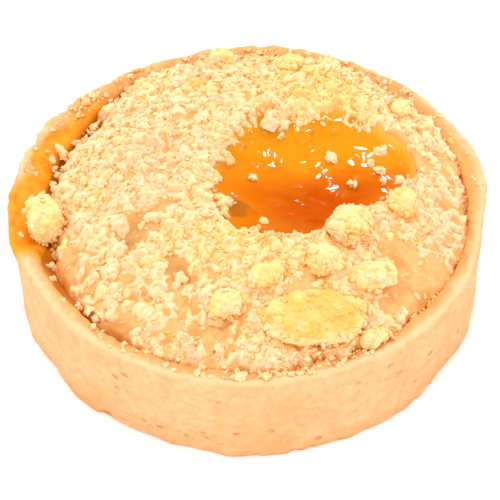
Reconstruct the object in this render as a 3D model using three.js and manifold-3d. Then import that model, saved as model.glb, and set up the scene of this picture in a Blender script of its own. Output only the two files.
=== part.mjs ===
// A single-portion lemon tart: a straight-sided shortcrust shell, a puffed almond
// filling that domes above the rim, a pool of lemon curd in an off-centre well, and
// crumble scattered over the top. Millimetres, +Z up. The origin is the centre of the
// base, +Y points to the back of the tart, and angles run anticlockwise from +X.
import * as THREE from "three";
import { mergeVertices } from "three/addons/utils/BufferGeometryUtils.js";
import Module from "manifold-3d";

const wasm = await Module();
wasm.setup();

const { degToRad, radToDeg, lerp, smoothstep, seededRandom } = THREE.MathUtils;
const { sin, cos, hypot, atan2, sqrt, exp, PI, min, max } = Math;

// ---------------------------------------------------------------- driving dimensions

const RIM_RADIUS = 40; // an 80 mm tart ring, 20 mm deep
const RIM_HEIGHT = 19.1;
const BASE_RADIUS = 38.9;
const FOOT_ROUND = 0.8; // radius of the bottom edge
const LIP_ROUND = 0.9; // radius of the rim's two edges
const WALL = 3.4; // thickness of the wall under the rim
const FLOOR = 3; // thickness of the base
const RIM_SLOPE = 0.5; // fall of the rim's top from its outer to its inner edge
const GAP = 0.3; // clearance between pieces that touch

// The filling's dome: its height above the rim, its lean to the right for each
// millimetre, and how square-shouldered it is.
const DOME = { crest: 4.8, lean: 0.03, power: 3 };
// Where the filling has shrunk from the wall, and by how much.
const SHRINKAGE = { at: 178, from: 0.5, full: 0.9, size: 1.3 };

const WELL = { x: 10.7, y: 4.8, halfWidth: 17.1, halfDepth: 15.6, sink: 4.8 };
const CURD = { depth: 4, edge: 0.6, below: 0.25 }; // below: how far its edge lies under the dome

// The stretch of rim under set syrup, in degrees: it fills the inner edge, and one end
// has run over the outer edge.
const GLAZE = { from: 128, to: 193, ease: 18, inward: 2.2, thickness: 1 };
const OVERRUN = { from: 166, to: 195, ease: 12, outward: 0.75, drop: 4.5 };

// ---------------------------------------------------------------- uneven shapes

// A wave is highest at `at` degrees and has `count` crests in a turn. A knock is a
// single swelling or dent at `at` degrees.
const RIM_REACH = {
  waves: [{ count: 3, size: 0.14, at: 20 }, { count: 7, size: 0.09, at: 5 }],
  knocks: [
    { at: 13, spread: 8, size: 0.4 },
    { at: 82, spread: 12, size: 0.4 },
    { at: 119, spread: 9, size: -0.5 },
    { at: 207, spread: 11, size: -0.6 },
    { at: 352, spread: 13, size: -0.8 },
  ],
};
const RIM_LIFT = {
  waves: [{ count: 2, size: 0.2, at: 33 }, { count: 5, size: 0.14, at: 5 }, { count: 9, size: 0.09, at: 10 }],
  knocks: [{ at: 12, spread: 24, size: 0.5 }, { at: 131, spread: 4, size: -0.6 }, { at: 123, spread: 5, size: 0.5 }],
};
const FOOT_REACH = {
  waves: [{ count: 5, size: 0.1, at: 40 }, { count: 11, size: 0.08, at: 12 }],
  knocks: [
    { at: 212, spread: 7, size: -0.55 },
    { at: 224, spread: 5, size: 0.6 },
    { at: 251, spread: 9, size: -0.45 },
    { at: 268, spread: 8, size: 0.5 },
    { at: 326, spread: 6, size: -0.7 },
  ],
};
const EDGE_HEIGHT = {
  mean: -1.2, // the filling's edge above the rim: low at the left, proud at the back
  waves: [{ count: 1, size: 1.6, at: 36 }, { count: 2, size: 0.73, at: 90 }],
};
const WELL_OUTLINE = {
  mean: 1,
  waves: [{ count: 1, size: 0.06, at: 230 }, { count: 2, size: 0.07, at: 230 }, { count: 3, size: 0.07, at: 120 }],
};

// Gentle swells of the baked filling, each a wave across the top.
const SWELLS = [
  { size: 0.28, alongX: 0.31, alongY: 0.12, phase: 0.9 },
  { size: 0.28, alongX: -0.13, alongY: 0.29, phase: 2 },
  { size: 0.18, alongX: 0.61, alongY: -0.37, phase: 1.7 },
  { size: 0.15, alongX: 0.43, alongY: 0.83, phase: 0 },
];

const bell = (x) => exp(-x * x);

function uneven({ mean = 0, waves, knocks = [] }, angle) {
  const wave = (w) => w.size * cos(w.count * (angle - degToRad(w.at)));
  const apart = (at) => ((radToDeg(angle) - at + 900) % 360) - 180;
  const knock = (k) => k.size * bell(apart(k.at) / k.spread);
  const sum = (list, value) => list.reduce((total, item) => total + value(item), 0);
  return mean + sum(waves, wave) + sum(knocks, knock);
}

// 1 between two angles in degrees, easing to 0 outside them.
function stretch({ from, to, ease }, angle) {
  const a = (radToDeg(angle) + 360) % 360;
  return smoothstep(a, from, from + ease) * (1 - smoothstep(a, to, to + ease / 2));
}

// ---------------------------------------------------------------- heights of the top

// Radius of the filling's side.
function fillingRadius(angle) {
  const shrunk = smoothstep(cos(angle - degToRad(SHRINKAGE.at)), SHRINKAGE.from, SHRINKAGE.full);
  return RIM_RADIUS - WALL - GAP - SHRINKAGE.size * shrunk;
}

function swells(x, y) {
  return SWELLS.reduce((sum, s) => sum + s.size * sin(s.alongX * x + s.alongY * y + s.phase), 0);
}

// The dome as if it had no well.
function domeHeight(x, y) {
  const angle = atan2(y, x);
  const share = min(1, hypot(x, y) / fillingRadius(angle));
  const edge = uneven(EDGE_HEIGHT, angle) * share ** 2;
  const rise = (DOME.crest + DOME.lean * x - edge) * (1 - share ** DOME.power);
  return RIM_HEIGHT + edge + rise + swells(x, y) * sqrt(1 - share ** 2);
}

// Distance from the well's middle, as a share of its outline's.
function wellShare(x, y) {
  const across = (x - WELL.x) / WELL.halfWidth;
  const along = (y - WELL.y) / WELL.halfDepth;
  return hypot(across, along) / uneven(WELL_OUTLINE, atan2(along, across));
}

// The curd's surface, a dish that is steep at the front and gentle at the back.
function curdHeight(x, y) {
  const share = min(1, wellShare(x, y));
  const steepness = lerp(0.55, 1, smoothstep(y, WELL.y - WELL.halfDepth, WELL.y + WELL.halfDepth));
  return domeHeight(x, y) - CURD.below - WELL.sink * (1 - share ** 2) ** steepness;
}

// The bed that the curd lies on.
function bedHeight(x, y) {
  const share = min(1, wellShare(x, y));
  return curdHeight(x, y) - lerp(CURD.depth, CURD.edge, share ** 1.5);
}

// ---------------------------------------------------------------- solids

// A closed geometry as a solid whose faces point out.
function solidOf(geometry) {
  const bare = new THREE.BufferGeometry().setAttribute("position", geometry.getAttribute("position"));
  const merged = mergeVertices(bare.setIndex(geometry.getIndex()), 1e-4);
  const triVerts = new Uint32Array(merged.index.array);
  const mesh = { numProp: 3, vertProperties: merged.attributes.position.array, triVerts };
  const made = new wasm.Manifold(new wasm.Mesh(mesh));
  if (made.volume() > 0) return made;
  triVerts.reverse();
  return new wasm.Manifold(new wasm.Mesh(mesh));
}

// The largest body of a solid, without scraps or sealed hollows, and without the
// slivers of a cut.
function mainBody(solid) {
  const sliver = 0.02;
  const largest = solid.decompose().reduce((a, b) => (b.volume() > a.volume() ? b : a));
  return largest.simplify(sliver);
}

function geometryOf(solid) {
  const { vertProperties, triVerts } = solid.getMesh();
  const geometry = new THREE.BufferGeometry();
  geometry.setAttribute("position", new THREE.Float32BufferAttribute(vertProperties, 3));
  geometry.setIndex(new THREE.Uint32BufferAttribute(triVerts, 1));
  return geometry;
}

// Moves every vertex of a geometry: move(point) changes the point in place.
function reshape(geometry, move) {
  const position = geometry.getAttribute("position");
  const point = new THREE.Vector3();
  for (let i = 0; i < position.count; i++) {
    move(point.fromBufferAttribute(position, i));
    position.setXYZ(i, point.x, point.y, point.z);
  }
  return geometry;
}

// A profile turned about +Z and then reshaped.
function turned(profile, segments, move) {
  return solidOf(reshape(new THREE.LatheGeometry(profile, segments).rotateX(PI / 2), move));
}

// Profile points on a round from one angle to another, in degrees.
function round(centreR, centreZ, radius, from, to) {
  const steps = 3;
  return Array.from({ length: steps + 1 }, (_, i) => {
    const angle = degToRad(lerp(from, to, i / steps));
    return new THREE.Vector2(centreR + radius * cos(angle), centreZ + radius * sin(angle));
  });
}

// ---------------------------------------------------------------- crust

function crustProfile() {
  const inner = RIM_RADIUS - WALL;
  const innerTop = RIM_HEIGHT - RIM_SLOPE;
  const outerAt = (share) => new THREE.Vector2(lerp(BASE_RADIUS, RIM_RADIUS, share), RIM_HEIGHT * share);
  return [
    new THREE.Vector2(0, 0),
    ...round(BASE_RADIUS - FOOT_ROUND, FOOT_ROUND, FOOT_ROUND, -90, 0),
    outerAt(0.4),
    outerAt(0.75),
    ...round(RIM_RADIUS - LIP_ROUND, RIM_HEIGHT - LIP_ROUND, LIP_ROUND, 0, 90),
    ...round(inner + LIP_ROUND, innerTop - LIP_ROUND, LIP_ROUND, 90, 180),
    new THREE.Vector2(BASE_RADIUS - WALL, FLOOR),
    new THREE.Vector2(0, FLOOR),
  ];
}

function crustShell() {
  const segments = 72;
  return turned(crustProfile(), segments, (p) => {
    const angle = atan2(p.y, p.x);
    const radius = hypot(p.x, p.y);
    const outer = smoothstep(radius, RIM_RADIUS - WALL, BASE_RADIUS - FOOT_ROUND);
    const up = smoothstep(p.z, FOOT_ROUND, RIM_HEIGHT);
    const top = smoothstep(p.z, RIM_HEIGHT - OVERRUN.drop, RIM_HEIGHT - LIP_ROUND);
    const glazed = stretch(GLAZE, angle) * top * (1 - outer);
    const reach =
      uneven(RIM_REACH, angle) * up * outer +
      uneven(FOOT_REACH, angle) * (1 - up) * outer +
      OVERRUN.outward * stretch(OVERRUN, angle) * top * outer -
      GLAZE.inward * glazed;
    const scale = 1 + (radius > 0 ? reach / radius : 0);
    p.x *= scale;
    p.y *= scale;
    p.z += uneven(RIM_LIFT, angle) * up - GLAZE.thickness * glazed;
  });
}

// ---------------------------------------------------------------- filling and curd

// A profile in shares: across is a share of the filling's radius, up of its height.
function fillingProfile() {
  const rings = 13;
  const rounding = 0.97; // where the top starts to round over, across
  const top = Array.from({ length: rings }, (_, i) => new THREE.Vector2(rounding * (1 - i / (rings - 1)), 1));
  return [
    new THREE.Vector2(0, 0),
    new THREE.Vector2(0.965, 0),
    new THREE.Vector2(1, 0.93),
    new THREE.Vector2(0.99, 0.98),
    ...top,
  ];
}

// Radius of the filling's side at its top, where the glaze takes some of its room.
function topRadius(angle) {
  return fillingRadius(angle) - GLAZE.inward * stretch(GLAZE, angle);
}

function fillingCore() {
  const segments = 64;
  const bottom = FLOOR + GAP;
  return turned(fillingProfile(), segments, (p) => {
    const radius = topRadius(atan2(p.y, p.x));
    p.x *= radius;
    p.y *= radius;
    p.z = lerp(bottom, domeHeight(p.x, p.y), p.z);
  });
}

// A lens that fills the well's outline, grown by `grow`, between two heights.
function wellLens(grow, lowAt, highAt) {
  const rings = 6;
  const segments = 40;
  const across = Array.from({ length: rings + 1 }, (_, i) => i / rings);
  const under = across.map((share) => new THREE.Vector2(share, 0));
  const over = across.map((share) => new THREE.Vector2(share, 1)).reverse();
  return turned([...under, ...over], segments, (p) => {
    const outline = uneven(WELL_OUTLINE, atan2(p.y, p.x));
    p.x = WELL.x + p.x * (WELL.halfWidth * outline + grow);
    p.y = WELL.y + p.y * (WELL.halfDepth * outline + grow);
    p.z = lerp(lowAt(p.x, p.y), highAt(p.x, p.y), p.z);
  });
}

// ---------------------------------------------------------------- crumble

const between = (low, high) => lerp(low, high, seededRandom());

// A rough lump of unit radius with its corners pushed in and out at random.
function lump(detail, roughness) {
  const ball = new THREE.IcosahedronGeometry(1, detail).deleteAttribute("normal").deleteAttribute("uv");
  const rough = reshape(mergeVertices(ball), (p) => p.multiplyScalar(between(1 - roughness, 1 + roughness)));
  return rough.rotateX(between(0, PI)).rotateZ(between(0, PI));
}

// Crumbs too large to be scattered, each its own piece: middle and size across the
// top, thickness and turn in degrees.
const LARGE_CRUMBS = {
  crumb_front: { x: 10, y: -28.6, width: 16.8, depth: 11.8, thickness: 4.2, turn: 4, detail: 3 },
  crumb_left: { x: -34, y: -4.4, width: 5.6, depth: 8.4, thickness: 6, turn: 8, detail: 2 },
  crumb_well: { x: 16.4, y: -11.2, width: 7.2, depth: 6.6, thickness: 5.6, turn: 30, detail: 2 },
  crumb_right: { x: 25.4, y: -5, width: 5, depth: 5, thickness: 4, turn: 25, detail: 1 },
  crumb_middle: { x: 12, y: -18.6, width: 6.2, depth: 5, thickness: 4.2, turn: -30, detail: 1 },
  crumb_side: { x: 19.6, y: -20.2, width: 7.4, depth: 5.6, thickness: 3.2, turn: 5, detail: 2 },
  crumb_front_left: { x: -3.9, y: -26.6, width: 4.7, depth: 5, thickness: 4.2, turn: 70, detail: 1 },
  crumb_front_middle: { x: 2.6, y: -21.4, width: 6.4, depth: 4.4, thickness: 3.6, turn: 15, detail: 1 },
  crumb_front_rim: { x: 19.6, y: -31, width: 4.6, depth: 3, thickness: 2.8, turn: 32, detail: 1 },
  crumb_back_rim: { x: -4.6, y: 34.8, width: 4.4, depth: 3.4, thickness: 3.2, turn: -5, detail: 1 },
  crumb_back: { x: 7.5, y: 31.5, width: 4.4, depth: 3.6, thickness: 3.4, turn: 10, detail: 1 },
  crumb_back_right: { x: 26.6, y: 20, width: 4, depth: 4, thickness: 3.4, turn: 0, detail: 1 },
};

// Where crumble is thin: middle, reach and how much of the full cover is missing.
const BARE_PATCHES = [
  { x: 30, y: -8, reach: 8, missing: 0.9 },
  { x: 26, y: -19, reach: 8, missing: 0.9 },
  { x: 30, y: 10, reach: 6, missing: 0.6 },
  { x: 24, y: 25, reach: 7, missing: 0.4 },
  { x: -10, y: -29, reach: 7, missing: 0.6 },
  { x: -28, y: -17, reach: 8, missing: 0.7 },
  { x: -17, y: -8, reach: 4, missing: 0.6 },
];

// Crumbs spilt on the rim: a thick drift at the front and a few at the back.
const RIM_DRIFTS = [
  { at: 280, spread: 14, count: 13, largest: 1.7 },
  { at: 132, spread: 9, count: 4, largest: 1.9 },
  { at: 73, spread: 8, count: 4, largest: 1.7 },
];

// Crumbs on the curd, by hand as they are few.
const CURD_CRUMBS = [
  { x: 2.6, y: 16.6, size: 2.6 },
  { x: 5.4, y: 14.4, size: 1.6 },
  { x: 14, y: 10.2, size: 2 },
  { x: 21, y: 8, size: 1.9 },
  { x: 22.4, y: 5.6, size: 1.5 },
  { x: 18, y: 4, size: 2.6 },
  { x: 0.4, y: 4.2, size: 1.7 },
];

// Sizes from the largest to the smallest, with more small ones than large.
function fallingSizes(count, largest, smallest) {
  return Array.from({ length: count }, (_, i) => lerp(largest, smallest, sqrt(i / count)));
}

// Places for crumbs, the largest first and none on top of another.
function scatter(sizes, draw, fits) {
  const tries = 80;
  const closest = 0.43; // smallest distance between two crumbs, as a share of their sizes
  const placed = [];
  sizes.forEach((size) => {
    for (let t = 0; t < tries; t++) {
      const spot = { ...draw(), size };
      const apart = placed.every((p) => hypot(p.x - spot.x, p.y - spot.y) > closest * (p.size + size));
      if (apart && fits(spot)) {
        placed.push(spot);
        return;
      }
    }
  });
  return placed;
}

function fillingCrumbs() {
  const cover = (x, y) =>
    BARE_PATCHES.reduce((left, b) => left - b.missing * bell(hypot(x - b.x, y - b.y) / b.reach), 1);
  const clearOf = (c, x, y, reach) => {
    const spot = new THREE.Vector2(x - c.x, y - c.y).rotateAround(new THREE.Vector2(), -degToRad(c.turn));
    return hypot(spot.x / (c.width / 2 + reach), spot.y / (c.depth / 2 + reach)) > 1;
  };
  const draw = () => {
    const angle = between(0, 2 * PI);
    const radius = (RIM_RADIUS - WALL) * sqrt(between(0, 1));
    return { x: radius * cos(angle), y: radius * sin(angle) };
  };
  const fits = ({ x, y, size }) =>
    hypot(x, y) + size * 0.7 < topRadius(atan2(y, x)) - GAP &&
    (wellShare(x, y) - 1) * WELL.halfDepth > size * 0.65 + GAP &&
    Object.values(LARGE_CRUMBS).every((c) => clearOf(c, x, y, size * 0.6 + 2 * GAP)) &&
    cover(x, y) > between(0, 1);
  seededRandom(11);
  return scatter(fallingSizes(120, 3.4, 1.6), draw, fits);
}

function rimTop(x, y) {
  return RIM_HEIGHT - RIM_SLOPE / 2 + uneven(RIM_LIFT, atan2(y, x));
}

function rimCrumbs() {
  seededRandom(23);
  return RIM_DRIFTS.flatMap(({ at, spread, count, largest }) => {
    const draw = () => {
      const angle = degToRad(at + spread * between(-1, 1));
      const radius = RIM_RADIUS - WALL / 2 + between(-0.3, 0.6);
      return { x: radius * cos(angle), y: radius * sin(angle) };
    };
    return scatter(fallingSizes(count, largest, 0.9), draw, () => true);
  });
}

// A solid with crumbs pressed a little into its surface.
function crumbed(base, crumbs, heightAt) {
  const sunk = 0.16; // height of a crumb's middle above the surface, as a share of its size
  const solids = crumbs.map(({ x, y, size }) => {
    const radius = () => (size / 2) * between(0.85, 1.2);
    const crumb = lump(0, 0.15).scale(radius(), radius(), radius() * 0.9);
    return solidOf(crumb.translate(x, y, heightAt(x, y) + size * sunk));
  });
  return wasm.Manifold.union([base, ...solids]);
}

// A large crumb whose underside follows what it lies on.
function largeCrumb({ x, y, width, depth, thickness, turn, detail }, below) {
  const raised = 0.25; // height of its middle above the top, as a share of its thickness
  const shape = lump(detail, 0.07).scale(width / 2, depth / 2, thickness / 2).rotateZ(degToRad(turn));
  const floor = max(domeHeight(x, y), hypot(x, y) > RIM_RADIUS - 2 * WALL ? RIM_HEIGHT - RIM_SLOPE : 0);
  const whole = solidOf(shape.translate(x, y, floor + thickness * raised));
  return mainBody(below.reduce((rest, other) => rest.subtract(other), whole));
}

// ---------------------------------------------------------------- the tart

const core = fillingCore();
const wellCutter = wellLens(GAP, (x, y) => bedHeight(x, y) - GAP, (x, y) => domeHeight(x, y) + DOME.crest);
const crust = mainBody(crumbed(crustShell(), rimCrumbs(), rimTop));
const filling = mainBody(crumbed(core, fillingCrumbs(), domeHeight).subtract(wellCutter));
const curd = mainBody(crumbed(wellLens(0, bedHeight, curdHeight), CURD_CRUMBS, curdHeight));

seededRandom(37);
const below = [core, crust, curd].map((solid) => solid.translate([0, 0, GAP]));
const largeCrumbs = Object.entries(LARGE_CRUMBS).map(([name, crumb]) => [name, largeCrumb(crumb, below)]);

function piece(name, solid, color, roughness) {
  const material = new THREE.MeshStandardMaterial({ color, roughness, metalness: 0 });
  const mesh = new THREE.Mesh(geometryOf(solid), material);
  mesh.name = name;
  return mesh;
}

const tart = new THREE.Group();
tart.add(
  piece("crust", crust, "#f3c58a", 0.8),
  piece("filling", filling, "#f6d193", 0.85),
  piece("lemon_curd", curd, "#f08a12", 0.12),
  ...largeCrumbs.map(([name, solid]) => piece(name, solid, "#f9dc8c", 0.9)),
);

export default tart;
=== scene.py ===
# A single-portion lemon tart under crumble, on a pale floor in soft light.
# Lengths are in millimetres until build_mesh turns them into metres, and in metres for
# lights and camera. The middle of the tart's base is the origin, +Y points to its back,
# and angles run anticlockwise from +X.
import itertools
import math

import bmesh
import bpy
import numpy as np
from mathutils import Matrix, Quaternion, Vector
from mathutils.bvhtree import BVHTree


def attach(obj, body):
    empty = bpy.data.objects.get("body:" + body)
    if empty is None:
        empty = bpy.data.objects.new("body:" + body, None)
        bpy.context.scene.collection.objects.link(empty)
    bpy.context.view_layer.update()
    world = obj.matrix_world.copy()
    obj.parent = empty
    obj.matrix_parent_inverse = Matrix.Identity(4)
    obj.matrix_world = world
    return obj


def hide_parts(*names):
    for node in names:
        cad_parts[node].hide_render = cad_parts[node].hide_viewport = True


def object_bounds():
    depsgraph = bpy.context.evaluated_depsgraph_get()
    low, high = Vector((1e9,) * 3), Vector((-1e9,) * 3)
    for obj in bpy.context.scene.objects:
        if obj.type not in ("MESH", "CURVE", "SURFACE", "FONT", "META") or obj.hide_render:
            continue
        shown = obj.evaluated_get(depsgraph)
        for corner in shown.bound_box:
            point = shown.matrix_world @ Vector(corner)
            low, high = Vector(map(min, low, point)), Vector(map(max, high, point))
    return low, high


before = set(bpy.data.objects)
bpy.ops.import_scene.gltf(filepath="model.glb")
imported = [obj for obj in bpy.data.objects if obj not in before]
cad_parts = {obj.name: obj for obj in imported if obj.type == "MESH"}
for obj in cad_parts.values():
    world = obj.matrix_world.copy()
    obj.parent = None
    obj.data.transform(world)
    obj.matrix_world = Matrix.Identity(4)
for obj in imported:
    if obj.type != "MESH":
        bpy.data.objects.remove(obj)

CAD_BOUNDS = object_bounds()
MM = 0.001
TINY = 1e-6

# ---- sizes of the tart

RIM_RADIUS = 40.0
RIM_HEIGHT = 19.1
BASE_RADIUS = 38.9
FOOT_ROUND = 0.8
LIP_ROUND = 0.9
WALL = 3.4
FLOOR = 3.0
RIM_SLOPE = 0.5
GAP = 0.3

DOME = {"crest": 4.8, "lean": 0.03, "power": 3}
SHRINKAGE = {"at": 178, "from": 0.5, "full": 0.9, "size": 1.3}
WELL = {"x": 10.7, "y": 4.8, "half_width": 17.1, "half_depth": 15.6, "sink": 4.8}
CURD = {"depth": 4.0, "edge": 0.6, "below": 0.25}
GLAZE = {"from": 128, "to": 193, "ease": 18, "inward": 2.2, "thickness": 1.0}
OVERRUN = {"from": 166, "to": 195, "ease": 12, "outward": 0.75, "drop": 4.5}

# Waves are (crests in a turn, size, angle of a crest); knocks are (angle, spread, size).
RIM_REACH = {
    "waves": [(3, 0.14, 20), (7, 0.09, 5)],
    "knocks": [(13, 8, 0.4), (82, 12, 0.4), (119, 9, -0.5), (207, 11, -0.6), (352, 13, -0.8)],
}
RIM_LIFT = {
    "waves": [(2, 0.2, 33), (5, 0.14, 5), (9, 0.09, 10)],
    "knocks": [(12, 24, 0.5), (131, 4, -0.6), (123, 5, 0.5)],
}
FOOT_REACH = {
    "waves": [(5, 0.1, 40), (11, 0.08, 12)],
    "knocks": [(212, 7, -0.55), (224, 5, 0.6), (251, 9, -0.45), (268, 8, 0.5), (326, 6, -0.7)],
}
EDGE_HEIGHT = {"mean": -1.2, "waves": [(1, 1.6, 36), (2, 0.73, 90)]}
WELL_OUTLINE = {"mean": 1.0, "waves": [(1, 0.06, 230), (2, 0.07, 230), (3, 0.07, 120)]}

# Swells of the filling are (size, turns along X, turns along Y, phase), in radians.
SWELLS = [
    (0.28, 0.31, 0.12, 0.9), (0.28, -0.13, 0.29, 2.0), (0.18, 0.61, -0.37, 1.7), (0.15, 0.43, 0.83, 0.0),
]

LARGE_CRUMBS = [name for name in sorted(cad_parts) if name.startswith("crumb_")]


# ---- curves and noise

# Noise is laid out far from the origin, so that no corner of its grid is negative.
OFFSET = 1000


def ease(x, low, high):
    t = np.clip((x - low) / (high - low), 0, 1)
    return t * t * (3 - 2 * t)


def lerp(a, b, t):
    return a + (b - a) * t


def bell(x):
    return np.exp(-np.square(x))


def uneven(shape, angle):
    """The sum of a shape's mean, its waves round a turn and its knocks."""
    total = shape.get("mean", 0.0) + 0 * angle
    for count, size, at in shape.get("waves", []):
        total = total + size * np.cos(count * (angle - math.radians(at)))
    for at, spread, size in shape.get("knocks", []):
        apart = (np.degrees(angle) - at + 900) % 360 - 180
        total = total + size * bell(apart / spread)
    return total


def stretch(span, angle):
    """1 between two angles, easing to 0 outside them."""
    a = np.degrees(angle) % 360
    opening = ease(a, span["from"], span["from"] + span["ease"])
    return opening * (1 - ease(a, span["to"], span["to"] + span["ease"] / 2))


PRIMES = (374761393, 668265263, 2246822519)
SEED_PRIME, MIX_PRIME = 3266489917, 2654435761
WORD = np.uint64(0xFFFFFFFF)


def hashed(corner, seed):
    """A repeatable number from 0 to 1 for each whole-number corner."""
    h = sum(corner[..., i].astype(np.uint64) * np.uint64(prime) for i, prime in enumerate(PRIMES))
    h = (h + np.uint64(seed * SEED_PRIME)) & WORD
    for shift in (15, 13):
        h = ((h ^ (h >> np.uint64(shift))) * np.uint64(MIX_PRIME)) & WORD
    return (h ^ (h >> np.uint64(16))).astype(float) / 0xFFFFFFFF


def noise(points, size, seed=0):
    """Smooth noise from -1 to 1 with lumps about `size` across."""
    scaled = points / size + OFFSET
    corner = np.floor(scaled).astype(np.int64)
    part = scaled - corner
    part = part * part * (3 - 2 * part)
    total = np.zeros(points.shape[:-1])
    for offset in itertools.product((0, 1), repeat=3):
        share = np.prod(np.where(offset, part, 1 - part), axis=-1)
        total += share * hashed(corner + offset, seed)
    return total * 2 - 1


def layered(points, layers):
    """Noise of several sizes added up."""
    return sum(height * noise(points, size, seed) for height, size, seed in layers)


def grains(points, size, seed=0):
    """Rounded bumps from 0 to 1, packed like grains about `size` across."""
    scaled = points / size + OFFSET
    corner = np.floor(scaled).astype(np.int64)
    nearest = np.full(points.shape[:-1], 9.0)
    for offset in itertools.product((-1, 0, 1), repeat=3):
        cell = corner + offset
        centre = np.stack([hashed(cell, seed + i) for i in range(3)], axis=-1)
        nearest = np.minimum(nearest, np.linalg.norm(cell + centre - scaled, axis=-1))
    furthest_squared = 0.75
    return np.sqrt(np.clip(1 - nearest * nearest / furthest_squared, 0, 1))


def flat(x, y):
    return np.stack([x, y, np.zeros_like(x)], axis=-1)


def round_about(radius, angle, height):
    """Points from their distance to the Z axis, direction and height."""
    return np.stack([radius * np.cos(angle), radius * np.sin(angle), height], -1)


def directions(count):
    return np.linspace(0, 2 * math.pi, count, endpoint=False)[None]


# ---- heights of the top

def filling_radius(angle):
    shrunk = ease(np.cos(angle - math.radians(SHRINKAGE["at"])), SHRINKAGE["from"], SHRINKAGE["full"])
    return RIM_RADIUS - WALL - GAP - SHRINKAGE["size"] * shrunk


def top_radius(angle):
    return filling_radius(angle) - GLAZE["inward"] * stretch(GLAZE, angle)


def dome_height(x, y):
    angle = np.arctan2(y, x)
    share = np.minimum(1, np.hypot(x, y) / filling_radius(angle))
    edge = uneven(EDGE_HEIGHT, angle) * share**2
    rise = (DOME["crest"] + DOME["lean"] * x - edge) * (1 - share ** DOME["power"])
    swell = sum(size * np.sin(kx * x + ky * y + phase) for size, kx, ky, phase in SWELLS)
    return RIM_HEIGHT + edge + rise + swell * np.sqrt(1 - share**2)


def well_share(x, y):
    across = (x - WELL["x"]) / WELL["half_width"]
    along = (y - WELL["y"]) / WELL["half_depth"]
    return np.hypot(across, along) / uneven(WELL_OUTLINE, np.arctan2(along, across))


def curd_height(x, y):
    share = np.minimum(1, well_share(x, y))
    steepness = lerp(0.55, 1.0, ease(y, WELL["y"] - WELL["half_depth"], WELL["y"] + WELL["half_depth"]))
    return dome_height(x, y) - CURD["below"] - WELL["sink"] * (1 - share**2) ** steepness


def bed_height(x, y):
    share = np.minimum(1, well_share(x, y))
    return curd_height(x, y) - lerp(CURD["depth"], CURD["edge"], share**1.5)


# Patches of the top are (x, y, reach, change). Crumble covers all that the bare ones leave.
BARE = [
    (31, 6, 4.5, -0.9), (34, 8, 3, -0.8), (34, -4, 3.5, -0.7), (26, -21, 6, -1.1), (31, -17, 4.5, -0.8),
    (23, -14, 3, -0.5), (10, -22.5, 3, -0.7), (-4, -31.5, 3, -0.7), (-9, -29, 4, -0.8), (-20, -25, 4.5, -0.8),
    (-28, -11, 3.5, -0.7), (-25, -17, 3, -0.5), (-18.5, -8.8, 3.4, -1.3), (-13, -17.2, 2.6, -1.4),
    (-10.9, -20.4, 2.3, -1.4), (-19.8, -12.6, 2.0, -0.8), (-13.4, -4.2, 2, -1.2), (-14, 9, 2.2, -0.7),
    (-9, 16.8, 2.4, -0.7), (-22.8, -1.7, 2.5, -0.6), (-18.2, 3.6, 3, -0.4), (26, 26, 4, -0.5),
    (-2.4, -28, 3, -0.4), (-1.2, -5.6, 2.6, -1.7), (-16, -22, 4, -0.3),
]
# How yellow the crumbs are: 0 is peach, 0.5 cream and 1 yellow.
YELLOW = [
    (7, 27, 12, 0.2), (19, 22, 9, 0.3), (0, -12, 11, 0.18), (-5, -18, 8, 0.12), (14, -15, 8, 0.12),
    (24, -6, 6, 0.2), (-33, -4, 5, 0.2), (-18, 14, 8, -0.05), (24, 27, 6, -0.4), (31, -6, 11, -0.3),
    (-10, -29, 9, -0.1), (-18.2, 3.6, 5, -0.3), (-22, 20, 5, -0.2), (-5, 33, 6, -0.2), (-14, 9, 4, -0.3),
]
# Hollows in the filling, sunk a little and painted a darker tan as painted shade.
HOLLOWS = [
    (-18.3, -8.8, 3.0, 1.0), (-13, -17.2, 2.2, 1.0), (-10.9, -20.4, 2.0, 1.2), (-19.8, -12.6, 2.2, 0.8),
    (-13.4, -4.2, 1.2, 0.8), (-1.2, -5.4, 1.9, 1.0), (23, 27, 4, 0.5), (27, 24, 3, 0.4),
]
# Painted shade: a dark brown spot where the curd's left edge meets the filling, under the crumbs that
# overhang it.
CAVE = (-1.6, -3.8, 2.3, 1.4)

# Stretches of the edge where the filling stands off the crust: (angle, spread, openness).
OPENINGS = [(143, 14, 1.0), (206, 11, 1.1), (233, 7, 1.0), (295, 2.5, 0.9), (321, 7, 0.4)]


def openness(angle):
    return np.clip(uneven({"knocks": OPENINGS}, angle), 0, 1)


def patches(x, y, base, spots):
    return base + sum(change * bell(np.hypot(x - px, y - py) / reach) for px, py, reach, change in spots)


def cover(x, y):
    """How thickly crumble lies, from 0 to 1."""
    return np.clip(patches(x, y, 1.0, BARE) + layered(flat(x, y), [(0.4, 3.5, 71), (0.3, 1.6, 72)]), 0, 1)


def yellowness(x, y):
    return patches(x, y, 0.5, YELLOW)


# ---- meshes

def show(name, data):
    """An object with this data, linked into the scene."""
    obj = bpy.data.objects.new(name, data)
    bpy.context.scene.collection.objects.link(obj)
    return obj


def set_value(mesh, key, value):
    """Give each point of a mesh a value under this name."""
    attribute = mesh.attributes.new(key, "FLOAT", "POINT")
    attribute.data.foreach_set("value", np.asarray(value, np.float32).ravel())


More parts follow.
